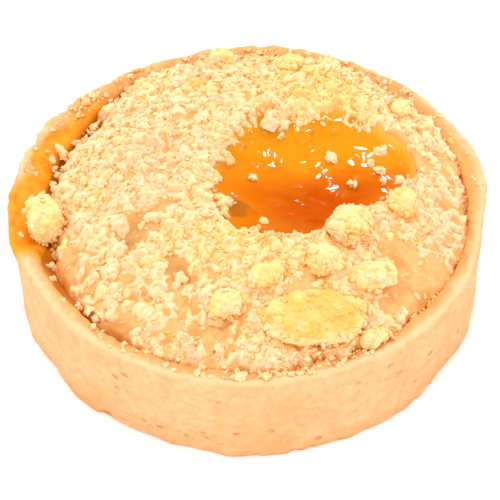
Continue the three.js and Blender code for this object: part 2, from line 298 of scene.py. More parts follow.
def build_mesh(name, points, faces, values=None, smooth=True):
    """An object from points in millimetres, faces with equal corners, and named values per point."""
    mesh = bpy.data.meshes.new(name)
    corners = faces.shape[1]
    mesh.vertices.add(len(points))
    mesh.vertices.foreach_set("co", (points * MM).astype(np.float32).ravel())
    mesh.loops.add(faces.size)
    mesh.loops.foreach_set("vertex_index", faces.astype(np.int32).ravel())
    mesh.polygons.add(len(faces))
    mesh.polygons.foreach_set("loop_start", np.arange(0, faces.size, corners, dtype=np.int32))
    mesh.polygons.foreach_set("use_smooth", np.full(len(faces), smooth))
    for key, value in (values or {}).items():
        set_value(mesh, key, value)
    mesh.update(calc_edges=True)
    mesh.validate()
    return show(name, mesh)


def rows(items, key, kind=np.float32):
    """Three numbers of each vertex or face."""
    values = np.zeros(len(items) * 3, kind)
    items.foreach_get(key, values)
    return values.reshape(-1, 3)


def turned_faces(rings, segments):
    """Triangles over rings of points between a first and a last single point."""
    ring = np.arange(segments)
    after = (ring + 1) % segments
    first = 1 + np.arange(rings - 1)[:, None] * segments
    a, b = first + ring, first + after
    c, d = b + segments, a + segments
    sides = np.concatenate([np.stack([a, b, c], -1), np.stack([a, c, d], -1)]).reshape(-1, 3)
    last = 1 + (rings - 1) * segments
    start = np.stack([np.zeros_like(ring), 1 + after, 1 + ring], -1)
    end = np.stack([np.full_like(ring, last + segments), last + ring, last + after], -1)
    return np.concatenate([start, sides, end])


def turned(name, rings, values):
    """A closed surface from rings of points, whose first and last rings are single points."""
    def listed(grid):
        return np.concatenate([grid[:1, 0], grid[1:-1].reshape(-1, *grid.shape[2:]), grid[-1:, 0]])

    faces = turned_faces(rings.shape[0] - 2, rings.shape[1])
    return build_mesh(name, listed(rings), faces, {key: listed(value) for key, value in values.items()})


def outward(rings):
    """Unit normals of a grid of points, away from the tart's inside."""
    along = np.gradient(rings, axis=0)
    around = np.roll(rings, -1, axis=1) - np.roll(rings, 1, axis=1)
    normal = np.cross(around, along)
    return normal / np.maximum(np.linalg.norm(normal, axis=-1, keepdims=True), 1e-9)


def round_corner(centre_r, centre_z, radius, start, end):
    angles = np.radians(np.linspace(start, end, CRUST_MESH["corner"]))
    return [(centre_r + radius * math.cos(a), centre_z + radius * math.sin(a)) for a in angles]


def resampled(points, step):
    """The same polyline with its points about `step` apart."""
    points = np.array(points, float)
    lengths = np.r_[0, np.cumsum(np.linalg.norm(np.diff(points, axis=0), axis=1))]
    count = max(2, int(round(lengths[-1] / step)) + 1)
    at = np.linspace(0, lengths[-1], count)
    return np.stack([np.interp(at, lengths, points[:, i]) for i in range(2)], -1)


def turned_grid(profile, segments):
    """Rings of points of a profile turned about the Z axis."""
    angle = directions(segments)
    r, z = profile[:, :1], profile[:, 1:]
    return round_about(r, angle, z + 0 * angle), angle + 0 * r


# ---- crust

CRUST_MESH = {"segments": 560, "corner": 9, "outside": 0.33, "inside": 3, "below": 4}
INNER_WALL = {"taper": 0.3, "from": 0.6, "down_to": 6}
# Depths below the rim between which each thing starts and is complete.
RIM_TOP = (1.6, 0.5)
LIP_HIGHLIGHT_EDGE = (0.9, 0.2)
SYRUP_RUN = (4.2, 3.2)
SYRUP_LEDGE = (3.0, 1.5)
NARROWED = (1.2, 3.2)
GAP_SHADE = (0.8, 2.2)
SYRUP_BAND = {"inside_rim": 2.3, "overrun": 1.9, "fade": 0.8}
# How far out from the top's edge the painted shade on the glazed ledge is full, and where it fades out.
LEDGE_SHADE = {"inner": 1.2, "outer": 2.7}
LIP_HIGHLIGHT = {"inside_rim": 0.45, "width": 0.45}
# Layers of noise are (height, size, seed).
RAGGED = [(0.5, 4, 5), (0.3, 1.5, 6)]
WALL_RELIEF = [(0.14, 12, 1), (0.09, 4, 2), (0.03, 1.3, 3)]
CHIPS = [(1, 3.5, 8), (0.6, 1.4, 9)]
CHIP_DEPTH = 0.6


def crust_profile():
    inner = RIM_RADIUS - WALL
    inner_top = RIM_HEIGHT - RIM_SLOPE
    foot = [(0, 0), (BASE_RADIUS - FOOT_ROUND, 0)]
    outside = round_corner(BASE_RADIUS - FOOT_ROUND, FOOT_ROUND, FOOT_ROUND, -90, 0)
    outside += round_corner(RIM_RADIUS - LIP_ROUND, RIM_HEIGHT - LIP_ROUND, LIP_ROUND, 0, 90)
    outside += round_corner(inner + LIP_ROUND, inner_top - LIP_ROUND, LIP_ROUND, 90, 180)
    outside += [(inner - INNER_WALL["taper"], RIM_HEIGHT - INNER_WALL["down_to"])]
    inside = [outside[-1], (BASE_RADIUS - WALL, FLOOR), (0, FLOOR)]
    return np.concatenate([
        resampled(foot, CRUST_MESH["below"])[:-1],
        resampled(outside, CRUST_MESH["outside"]),
        resampled(inside, CRUST_MESH["inside"])[1:],
    ])


def near_rim(height, depths):
    """Eases from 0 to 1 between two depths below the rim."""
    return ease(height, RIM_HEIGHT - depths[0], RIM_HEIGHT - depths[1])


def reshape_crust(rings, angle, height, outer, top, inside):
    """Give plain rings the uneven rim and foot, the glazed ledge and the narrowed inner wall."""
    radius = np.hypot(rings[..., 0], rings[..., 1])
    up = ease(height, FOOT_ROUND, RIM_HEIGHT)
    glazed = stretch(GLAZE, angle) * top * (1 - outer)
    reach = uneven(RIM_REACH, angle) * up * outer + uneven(FOOT_REACH, angle) * (1 - up) * outer
    reach += OVERRUN["outward"] * stretch(OVERRUN, angle) * top * outer - GLAZE["inward"] * glazed
    scale = 1 + reach / np.maximum(radius, TINY) * (radius > 0)
    rings[..., :2] *= scale[..., None]
    rings[..., 2] += uneven(RIM_LIFT, angle) * up - GLAZE["thickness"] * glazed
    now = np.maximum(np.hypot(rings[..., 0], rings[..., 1]), TINY)
    narrowed = lerp(now, top_radius(angle) - 0.4, inside * near_rim(height, NARROWED))
    rings[..., :2] *= (narrowed / now)[..., None]


def syrup_share(angle, radius, height, rim, outer, inside, ragged):
    """Where set syrup covers the crust: on the rim, down its outside and down its inner wall."""
    glaze, overrun = stretch(GLAZE, angle), stretch(OVERRUN, angle)
    edge = RIM_RADIUS - SYRUP_BAND["inside_rim"] + SYRUP_BAND["overrun"] * overrun
    on_rim = glaze * rim * (1 - ease(radius + 1.6 * ragged, edge, edge + SYRUP_BAND["fade"]))
    run = overrun * near_rim(height + 2 * ragged, SYRUP_RUN) * outer
    drip = ease(glaze, 0, 0.4) * inside
    return np.clip(np.maximum(np.maximum(on_rim, run), drip), 0, 1)


def crust_relief(rings, angle, height, rim, outer, syrup):
    """How far the surface stands out: the wall's unevenness, the crumbled rim and the chipped foot."""
    dry = 1 - 0.8 * syrup
    crumbled = rim * lerp(1, 2, stretch(GLAZE, angle))
    relief = layered(rings, WALL_RELIEF)
    relief += dry * crumbled * (0.35 * (grains(rings, 1.4, 7) - 0.5) + 0.2 * noise(rings, 0.9, 4))
    relief += crumbled * (0.3 * noise(rings, 2.6, 11) + syrup * 0.15 * noise(rings, 1.4, 10))
    relief += 0.3 * ease(height, 15, 3) * noise(rings, 3.2, 12)
    chips = ease(layered(rings, CHIPS), 0.25, 0.9)
    return relief - CHIP_DEPTH * chips * ease(height, 2.4, 0.2) * outer * (height > 0)


def make_crust():
    rings, angle = turned_grid(crust_profile(), CRUST_MESH["segments"])
    radius, height = np.hypot(rings[..., 0], rings[..., 1]), rings[..., 2].copy()
    outer = ease(radius, RIM_RADIUS - WALL, BASE_RADIUS - FOOT_ROUND)
    top = near_rim(height, (OVERRUN["drop"], LIP_ROUND))
    rim = near_rim(height, RIM_TOP)
    inside = (radius < RIM_RADIUS - WALL + INNER_WALL["from"]) * (height > FLOOR + 0.5)
    reshape_crust(rings, angle, height, outer, top, inside)

    ragged = layered(rings, RAGGED)
    syrup = syrup_share(angle, radius, height, rim, outer, inside, ragged)
    relief = crust_relief(rings, angle, height, rim, outer, syrup)
    rings += outward(rings) * (relief * (outer + top > 0) * (height > 0))[..., None]
    rings[..., 2] = np.maximum(rings[..., 2], 0)

    glaze, level = stretch(GLAZE, angle), top_radius(angle)
    # Painted highlight: a pale line along the crest of the rim's outer edge.
    lip_highlight = bell((radius - RIM_RADIUS + LIP_HIGHLIGHT["inside_rim"] + 0.3 * ragged) / LIP_HIGHLIGHT["width"])
    # Painted shade: the rim darker towards its inner edge, and on the inner wall.
    inner = rim * ease(radius + 0.5 * ragged, RIM_RADIUS - 0.8, RIM_RADIUS - 2.6)
    now = np.hypot(rings[..., 0], rings[..., 1])
    # Painted shade: a dark band on the inner side of the glazed ledge, and the inner wall darkened in the
    # gap, most where the filling stands off.
    ledge_shade = ease(now + 1.5 * ragged, level + LEDGE_SHADE["outer"], level + LEDGE_SHADE["inner"])
    ledge_shade = glaze * near_rim(height, SYRUP_LEDGE) * (1 - outer) * ledge_shade
    gap = inside * near_rim(height + ragged, GAP_SHADE) * lerp(0.6, 1, np.maximum(openness(angle), glaze))
    return turned("pastry_shell", rings, {
        "syrup": syrup,
        "lip_highlight": lip_highlight * near_rim(height, LIP_HIGHLIGHT_EDGE),
        "inner": np.maximum(inner, inside),
        "wall": outer * (1 - rim) * (1 - inside),
        "toasted": np.maximum(ease(height, 5, 0) * outer, rim * ease(rings[..., 1], 8, 28)),
        "gap": np.maximum(gap, 0.85 * ledge_shade),
    })


# ---- filling and curd

FILLING_MESH = {"segments": 480, "side": 0.04, "rings": 90}
BAKED_RELIEF = [(0.5, 4.5, 31), (0.4, 1.9, 32), (0.2, 0.9, 38)]
HOLLOW_DEPTH = 0.5
EDGE = {"ragged": 0.45, "pulled_in": 0.8}


def baked_relief(x, y):
    """Soft swellings of the filling where it lies bare, with its hollows and without them."""
    spot = flat(x, y)
    swollen = grains(spot + noise(spot, 3, 40)[..., None] * [0.8, 0.8, 0], 2.6, 39)
    swelling = layered(spot, BAKED_RELIEF) + swollen - 0.55
    return swelling - HOLLOW_DEPTH * patches(x, y, 0, HOLLOWS), swelling


def make_filling():
    bottom = FLOOR + GAP
    # Shares of the radius and of the height, up the side and then across the top.
    side = [(0.965, 0), (1, 0.95), (0.995, 0.985), (0.985, 1)]
    across = np.linspace(side[-1][0], 0, FILLING_MESH["rings"])[1:]
    top = np.stack([across, across * 0 + 1], -1)
    shares = np.concatenate([[[0, 0], [0.5, 0]], resampled(side, FILLING_MESH["side"]), top])
    out, up = shares[:, :1], shares[:, 1:]
    angle = directions(FILLING_MESH["segments"])
    shrunk = ease(stretch(GLAZE, angle), 0, 0.5)
    wavy = EDGE["ragged"] * noise(round_about(20, angle, 0 * angle), 1.6, 30)
    edge = top_radius(angle) + GAP * (1 - shrunk)
    edge = edge + (wavy - EDGE["pulled_in"] * openness(angle)) * ease(out, 0.9, 1) * ease(up, 0.5, 0.95)
    radius = out * edge
    x, y = radius * np.cos(angle), radius * np.sin(angle)
    relief, swelling = baked_relief(x, y)
    under_well = bed_height(x, y) - 0.1
    height = lerp(under_well, dome_height(x, y) + relief, ease(well_share(x, y), 0.96, 1.03))
    rings = np.stack([x, y, lerp(bottom, height, up)], -1)
    # Painted shade in the gap: the filling's sides where it shrank from the glazed rim, and its brink where
    # it stands off the crust.
    sides = 1 - ease(up + 0 * angle, 0.9, 0.99)
    brink_shade = ease(out - 0.01 * noise(flat(x, y), 1.5, 48), 0.955, 0.975) * openness(angle)
    return turned("almond_filling", rings, {
        # Painted light and shade of the swellings: paler on them, darker between.
        "swelling": ease(swelling, -0.6, 0.6),
        "painted_hollow_shade": np.clip(patches(x, y, 0, HOLLOWS), 0, 1),
        "painted_edge_shade": sides * shrunk + brink_shade,
        "painted_cave_shade": patches(x, y, 0, [CAVE]),
    })


# Rings that bubbles left in the set curd: (x, y, radius).
BUBBLES = [(2.6, 8.6, 2.0), (17.4, 9.0, 1.4), (9, 14.5, 1.2)]
# Lines along which its skin is puckered and glints: points (x, y).
PUCKERS = [
    [(10.5, 15.0), (11.3, 11.7), (11.8, 10.0), (12.9, 7.0), (13.3, 5.1), (14.4, 2.7), (14.7, 1.0)],
    [(1.1, 8.2), (2.2, 7.2), (3.9, 8.1), (4.5, 9.3)], [(1.9, 10.6), (3.6, 10.8)],
    [(17.2, 9.4), (18.0, 8.2), (19.0, 7.9)], [(19.4, 9.1), (20.2, 9.4), (19.8, 7.4)],
    [(8.0, 17.0), (10.1, 17.5)], [(11.8, 18.0), (13.2, 18.2)], [(24.0, 11.1), (24.7, 10.3)],
    [(-4.7, 6.3), (-4.4, 4.6)], [(-2.7, 0.0), (-1.9, -1.4)], [(23.1, 2.1), (23.2, 0.4)],
    [(9.1, -1.1), (9.6, -1.3)], [(3.3, 12.1), (4.6, 11.1)], [(25.6, 8.6), (25.9, 7.4)],
    [(19.8, 14.6), (20.9, 13.8)],
]
# Facets lie along the lines, and are strewn round the well's middle, not far in front of it.
FACETS = {"spacing": 0.8, "strewn": 60, "reach": 14, "front": -7, "jitter": 0.25, "size": 0.15, "larger": 0.6}
FACET_SLOPE = (0.04, 0.06)


def puckers():
    """Middles, sizes and directions of the small facets of the curd's skin."""
    rng = np.random.default_rng(12)
    reach = FACETS["reach"]
    spots = []
    for line in PUCKERS:
        for (ax, ay), (bx, by) in zip(line, line[1:]):
            for t in np.arange(0, 1, FACETS["spacing"] / math.hypot(bx - ax, by - ay)):
                spots.append((lerp(ax, bx, t), lerp(ay, by, t)))
    for a, b in rng.uniform(-reach, reach, (FACETS["strewn"], 2)):
        if math.hypot(a, b) < reach and b > FACETS["front"]:
            spots.append((WELL["x"] + a, WELL["y"] + b))
    spots = np.array(spots)
    spots += rng.uniform(-FACETS["jitter"], FACETS["jitter"], spots.shape)
    sizes = FACETS["size"] + FACETS["larger"] * rng.uniform(0, 1, len(spots)) ** 2
    return spots, sizes, rng.uniform(0, math.pi, len(spots))


def glints(x, y):
    """Where the curd's skin lies in a glinting facet, from 0 to 1, and the height of the facet there."""
    spots, reaches, ways = puckers()
    across, along = x[..., None] - spots[:, 0], y[..., None] - spots[:, 1]
    turned_along = across * np.cos(ways) + along * np.sin(ways)
    turned_across = along * np.cos(ways) - across * np.sin(ways)
    apart = np.hypot(0.6 * turned_along, 1.5 * turned_across) - reaches
    nearest = apart.argmin(-1)
    edge = apart.min(-1) + layered(flat(x, y), [(0.35, 0.7, 54), (0.2, 1.5, 53)])
    away = flat(x, y)[..., :2] - spots[nearest]
    level = (curd_height(*spots.T) + curd_relief(*spots.T))[nearest]
    return ease(edge, 0.1, -0.1), level + FACET_SLOPE[0] * away[..., 0] + FACET_SLOPE[1] * away[..., 1]


CURD_MESH = {"rings": 100, "segments": 420}
FOLD = {"height": 0.4, "x": 12.6, "y": 6, "lean": 0.3, "width": 0.8}
BUBBLE_RING = {"height": 0.25, "width": 0.4}


def curd_relief(x, y):
    """Folds, bubble rings and wrinkles of the set curd, fading out at its edge."""
    spot = flat(x, y)
    inside = 1 - ease(well_share(x, y), 0.7, 0.98)
    off_fold = x - FOLD["x"] + FOLD["lean"] * (y - FOLD["y"]) + 0.8 * noise(spot, 5, 43)
    fold = FOLD["height"] * bell(off_fold / FOLD["width"])
    wobble = 0.3 * noise(spot, 1.5, 45)
    width = BUBBLE_RING["width"]
    rings = sum(bell((np.hypot(x - bx, y - by) + wobble - radius) / width) for bx, by, radius in BUBBLES)
    drawn = flat(x / 3, y + 0.5 * noise(spot, 3, 46))
    rough = 0.35 * noise(spot, 5, 41) + 0.14 * noise(drawn, 1.2, 42) + 0.05 * noise(spot, 1.4, 44)
    return (fold + BUBBLE_RING["height"] * rings) * inside + rough * (0.2 + 0.8 * inside)


def make_curd():
    across = np.linspace(0, 1, CURD_MESH["rings"])
    shares = np.concatenate([
        np.stack([across, 0 * across], -1)[::3],
        np.stack([across[::-1], 0 * across + 1], -1),
    ])
    angle = directions(CURD_MESH["segments"])
    outline = uneven(WELL_OUTLINE, angle) * shares[:, :1]
    x = WELL["x"] + outline * WELL["half_width"] * np.cos(angle)
    y = WELL["y"] + outline * WELL["half_depth"] * np.sin(angle)
    spot, share = flat(x, y), well_share(x, y)
    wet, facet = glints(x, y)
    wet = wet * (share < 0.97)
    top = lerp(curd_height(x, y) + curd_relief(x, y), facet + 0.02 * noise(spot, 0.5, 57), wet)
    rings = np.stack([x, y, lerp(bed_height(x, y), top, shares[:, 1:])], -1)
    cloud = noise(spot, 4.5, 47)
    # Deeper orange towards the front of the well: partly the curd's own colour where it lies thick, partly
    # painted shade under the front lip of crumbs.
    thick_and_shaded = ease(y + 1.2 * cloud, 11, 1) * bell((x - 12.5) / 15) * lerp(0.7, 1, ease(y + cloud, -9, -4))
    thin = ease(share + 0.05 * cloud + 0.05 * ease(x, 16, 26) - 0.1 * ease(y, 4, -6), 0.88, 1.06)
    # Painted shade of the same spot on the curd.
    painted_cave_shade = patches(x, y, 0.5 * noise(spot, 1.3, 58), [CAVE])
    return turned("lemon_curd_pool", rings, {"thick_and_shaded": thick_and_shaded, "thin": thin, "wet": wet, "painted_cave_shade": painted_cave_shade})


# ---- large crumbs

REMESH = {"voxel": 0.17, "smoothing": 6}


def remeshed(source):
    """Points in millimetres, normals and triangles of a copy of an object, rebuilt from small cubes."""
    obj = show("remesh", source.data.copy())
    modifier = obj.modifiers.new("remesh", "REMESH")
    modifier.mode = "VOXEL"
    modifier.voxel_size = REMESH["voxel"] * MM
    obj.modifiers.new("smooth", "SMOOTH").iterations = REMESH["smoothing"]
    obj.modifiers.new("triangles", "TRIANGULATE")
    made = obj.evaluated_get(bpy.context.evaluated_depsgraph_get()).to_mesh()
    points, normals = rows(made.vertices, "co", float) / MM, rows(made.vertices, "normal", float)
    faces = rows(made.polygons, "vertices", np.int32)
    bpy.data.objects.remove(obj)
    return points, normals, faces


def crumbly(points, knobby, seed):
    """How far a large crumb's surface sticks out at each point."""
    coarse, fine = grains(points, 2.1, seed), grains(points, 1.0, seed + 1)
    push = knobby * (0.5 * (coarse - 0.6) + 0.5 * (fine - 0.5))
    return push + layered(points, [(0.4, 2.6, seed), (0.14, 0.6, seed + 2), (0.1, 0.35, seed + 3)])


def make_large_crumb(node, seed):
    points, normals, faces = remeshed(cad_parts[node])
    slab = node == "crumb_front"
    points = points + normals * crumbly(points, 0.4 if slab else 1, seed)[:, None]
    gold_top = 0.22 * slab * ease(normals[:, 2], 0.6, 0.98)
    return build_mesh(node + "_lump", points, faces, {"tone": 0.76 + gold_top + 0.2 * noise(points, 2, seed)})


# ---- small crumbs

KNOBS = {"count": 6, "offset": 0.25, "radius": 0.29}
KINDS = 16


def lump_shape(subdivisions, seed):
    """Points and triangles of a rough lump of fused knobs, about 1 across."""
    ball = bmesh.new()
    bmesh.ops.create_icosphere(ball, subdivisions=subdivisions, radius=0.5)
    ball.verts.index_update()
    points = np.array([v.co for v in ball.verts])
    faces = np.array([[v.index for v in f.verts] for f in ball.faces])
    ball.free()
    knobs = np.random.default_rng(seed).normal(size=(KNOBS["count"], 3))
    offset = KNOBS["offset"]
    along = 2 * points @ (offset * knobs / np.linalg.norm(knobs, axis=1, keepdims=True)).T
    reach = (along + np.sqrt(KNOBS["radius"]**2 - offset**2 + along**2)).max(1)
    reach *= 1 + layered(points, [(0.5, 0.3, seed + 6), (0.3, 0.15, seed + 7)])
    return 2 * points * reach[:, None], faces


def turns(rng, count):
    """Random rotations, as matrices."""
    q = rng.normal(size=(count, 4))
    w, x, y, z = (q / np.linalg.norm(q, axis=1, keepdims=True)).T
    return np.stack([
        1 - 2 * (y * y + z * z), 2 * (x * y - z * w), 2 * (x * z + y * w),
        2 * (x * y + z * w), 1 - 2 * (x * x + z * z), 2 * (y * z - x * w),
        2 * (x * z - y * w), 2 * (y * z + x * w), 1 - 2 * (x * x + y * y),
    ], -1).reshape(-1, 3, 3)


def joined(parts):
    """Points and faces of several meshes, as those of one."""
    points, faces = zip(*parts)
    starts = np.cumsum([0] + [len(own) for own in points[:-1]])
    return np.concatenate(points), np.concatenate([own + start for own, start in zip(faces, starts)])


def crumbs_mesh(name, spots, sizes, tones, subdivisions, seed):
    """One mesh of many rough lumps: spots are their middles."""
    rng = np.random.default_rng(seed)
    parts, values = [], []
    for kind in range(KINDS):
        chosen = np.arange(kind, len(spots), KINDS)
        shape, triangles = lump_shape(subdivisions, seed + 10 * kind)
        sized = shape * rng.uniform(0.65, 1.35, (len(chosen), 1, 3)) * sizes[chosen, None, None]
        placed = sized @ turns(rng, len(chosen)) + spots[chosen, None]
        parts += [(points, triangles) for points in placed]
        values.append(np.repeat(tones[chosen], len(shape)))
    return build_mesh(name, *joined(parts), {"tone": np.concatenate(values)}, smooth=False)


def mesh_arrays(obj):
    """Points in millimetres and triangles of an object."""
    obj.data.calc_loop_triangles()
    return rows(obj.data.vertices, "co") / MM, rows(obj.data.loop_triangles, "vertices", np.int32)


def surfaces(objects):
    """A search tree of what crumbs fall on."""
    points, triangles = joined(map(mesh_arrays, objects))
    return BVHTree.FromPolygons(points.tolist(), triangles.tolist())


def heights(tree, x, y):
    """Height of the surfaces at each place, and 0 where there is none."""
    above_all, down = 60, Vector((0, 0, -1))
    starts = (Vector((a, b, above_all)) for a, b in zip(x.tolist(), y.tolist()))
    hits = (tree.ray_cast(start, down)[0] for start in starts)
    return np.array([hit.z if hit else 0.0 for hit in hits])


def scattered(rng, count, wanted):
    """Random places on the top, kept where wanted(x, y) is likely."""
    places = np.zeros((0, 2))
    while len(places) < count:
        radius = (RIM_RADIUS - 0.6) * np.sqrt(rng.uniform(0, 1, count))
        angle = rng.uniform(0, 2 * math.pi, count)
        x, y = radius * np.cos(angle), radius * np.sin(angle)
        kept = rng.uniform(0, 1, count) < wanted(x, y)
        places = np.concatenate([places, np.stack([x, y], -1)[kept]])
    return places[:count, 0], places[:count, 1]


# Drifts of crumbs on the rim: (angle, spread, thickness).
RIM_DRIFTS = [(283, 17, 1.1), (88, 20, 0.35), (52, 22, 0.6), (130, 18, 0.35), (160, 20, 0.1), (235, 20, 0.15)]


def filling_chance(x, y, sparse):
    """How likely a crumb is to lie at a place on the filling."""
    angle = np.arctan2(y, x)
    ragged = 0.18 * noise(flat(x, y), 3.2, 81) + 0.14 * noise(flat(x, y), 1.4, 82)
    overhang = 0.14 * ease(y, 12, 17) * ease(x, 27, 22)
    off_curd = ease(well_share(x, y) + ragged + overhang, 0.9, 1.0)
    inside = 1 - ease(np.hypot(x, y) - top_radius(angle) + 2.0 * openness(angle), -0.6, 0.4)
    return np.clip(inside * off_curd * (sparse + cover(x, y) ** 1.5), 0, 1)


def rim_chance(x, y):
    """How likely a crumb is to lie at a place on the rim."""
    radius = np.hypot(x, y)
    drift = uneven({"knocks": RIM_DRIFTS}, np.arctan2(y, x))
    return ease(radius, 36, 37) * (0.01 + drift) * (1 - ease(radius, 38.6, 39.5))


def modelled_crumbs(node, ground_at):
    """Middles and sizes of the crumbs fused to a node, from the highest points above its own surface."""
    points, _ = mesh_arrays(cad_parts[node])
    x, y, z = points.T
    above = z - ground_at(x, y)
    lowest, share_above = 0.55, 0.6
    tops = []
    for i in sorted(np.flatnonzero(above > lowest), key=lambda i: -above[i]):
        reach = 0.75
        if all(math.hypot(x[i] - x[j], y[i] - y[j]) > reach * above[j] / share_above for j in tops):
            tops.append(i)
    sizes = above[tops] / share_above
    return points[tops] - [0, 0, 0.5] * sizes[:, None], sizes


def rim_top(x, y):
    return RIM_HEIGHT - RIM_SLOPE / 2 + uneven(RIM_LIFT, np.arctan2(y, x))


# Crumbs wedged in the gap at the left: (angle, radius, size, depth below the rim).
WEDGED = [
    (158, 34.3, 2.5, 0.5), (162, 35.2, 1.2, 0.2), (166, 33.4, 1.4, 1.2), (163, 32.6, 1.8, 1.0),
    (171, 33.2, 1.6, 1.4), (168, 32.2, 1.1, 1.2), (176, 33.6, 1.0, 1.8), (201, 35, 1.7, 2.4),
    (206, 35.8, 1.2, 2.0), (219, 35.6, 1.5, 1.2), (222, 35, 1.8, 1.0), (226, 35.6, 1.1, 0.8),
    (151, 34.6, 1.2, 2.0), (146, 35, 1.1, 2.4), (160, 33.6, 1.0, 0.6), (156, 35.2, 0.9, 0.9),
    (164, 34.4, 0.9, 1.0), (169, 34.0, 1.0, 1.6), (174, 32.6, 1.2, 1.2), (180, 33.4, 0.9, 1.6),
]


def wedged_crumbs():
    """Middles and sizes of the crumbs in the gap."""
    angle, radius, sizes, depth = np.array(WEDGED, float).T
    angle = np.radians(angle)
    return round_about(radius, angle, RIM_HEIGHT - depth), sizes


def packed_crumbs(rng, count):
    """Middles and sizes of the crumbs that fill the groove in front of the slab."""
    angle = np.radians(rng.uniform(268, 304, count))
    wall = RIM_RADIUS - WALL - 0.1
    radius, sizes = rng.uniform(wall - 2.3, wall, count), rng.uniform(1.2, 2.2, count)
    height = RIM_HEIGHT - 0.5 + 0.5 * (wall - radius) + rng.uniform(-0.3, 0.2, count)
    return round_about(radius, angle, height), sizes


def seam_crumbs(rng, count):
    """Middles and sizes of small crumbs caught between the filling and the crust."""
    angle = rng.uniform(0, 2 * math.pi, count)
    wide = np.minimum(openness(angle) + ease(stretch(GLAZE, angle), 0, 0.5), 1)
    radius = top_radius(angle) + GAP / 2 + wide * rng.uniform(-0.4, 1.3, count)
    sizes = lerp(0.35, 0.9, rng.uniform(0, 1, count) ** 1.5) * lerp(1, 1.4, wide)
    under = lerp(0.6, 1.1, wide) + rng.uniform(-0.4, 0.5, count)
    x, y = radius * np.cos(angle), radius * np.sin(angle)
    level = np.minimum(dome_height(x, y), RIM_HEIGHT)
    return np.stack([x, y, level - under + 0.3 * sizes], -1), sizes


def crumb_tones(rng, spots):
    return yellowness(*spots[:, :2].T) + rng.normal(0, 0.13, len(spots))


def edge_crumbs(rng, lumps, count):
    """Crumbs that fray the lower sides of the large ones: their middles, sizes and tones."""
    shapes = [mesh_arrays(lump)[0] for lump in lumps]
    points = np.concatenate(shapes)
    tones = np.concatenate([np.array([v.value for v in lump.data.attributes["tone"].data]) for lump in lumps])
    tops = np.concatenate([np.full(len(shape), shape[:, 2].max()) for shape in shapes])
    weight = ease(tops - points[:, 2], 0.3, 2.0) + 0.03
    chosen = rng.choice(len(points), count, replace=False, p=weight / weight.sum())
    sizes = lerp(0.4, 1.3, rng.uniform(0, 1, count) ** 2)
    return points[chosen], sizes, tones[chosen] - rng.uniform(0, 0.2, count)


def spread(rng, spacing, wanted):
    """Places about `spacing` apart all over the top, kept where wanted(x, y) is likely."""
    steps = np.arange(-RIM_RADIUS, RIM_RADIUS, spacing)
    x, y = np.meshgrid(steps, steps * math.sqrt(0.75))
    x[::2] += spacing / 2
    x, y = (c.ravel() + rng.uniform(-0.4, 0.4, c.size) * spacing for c in (x, y))
    kept = (np.hypot(x, y) < RIM_RADIUS - 0.6) * (rng.uniform(0, 1, x.size) < wanted(x, y))
    return x[kept], y[kept]


def smoothed(grid):
    """A grid averaged with its neighbours."""
    for axis in (0, 1):
        grid = (np.roll(grid, 1, axis) + 2 * grid + np.roll(grid, -1, axis)) / 4
    return grid


HEAP_STEP = 0.18
# How deep the heap's grid lies under the filling where no crumb holds it up.
BURIED = 1.5
# Crumbs in the heap are round caps: how sharply they fall off, and where they end.
CAP = {"fall": 3.6, "end": 0.4, "height": 0.5}
HEAP_BED = {"low": 0.9, "rise": 0.9, "rough": 0.3}


def heap_of(rng, x, y, ground, spots, sizes):
    """Height and tone of lumps that have run together, on a square grid."""
    bend = [layered(flat(x, y), [(0.4, 1.1, seed), (0.2, 0.5, seed)]) for seed in (91, 92)]
    bent_x, bent_y = x + bend[0], y + bend[1]
    height = ground - BURIED
    tone = yellowness(x, y)
    tones = crumb_tones(rng, spots)
    for (sx, sy, sz), size, own in zip(spots, sizes, tones):
        reach = int(0.8 * size / HEAP_STEP) + 2
        row, column = int(round((sy - y[0, 0]) / HEAP_STEP)), int(round((sx - x[0, 0]) / HEAP_STEP))
        part = slice(max(0, row - reach), row + reach), slice(max(0, column - reach), column + reach)
        apart = np.square(bent_x[part] - sx) + np.square(bent_y[part] - sy)
        cap = sz + CAP["height"] * size * (1 - CAP["fall"] * apart / (size * size))
        cap = cap - 4 * (apart > CAP["end"] * size * size)
        higher = cap > height[part]
        height[part] = np.where(higher, cap, height[part])
        tone[part] = np.where(higher, own, tone[part])
    return height, tone


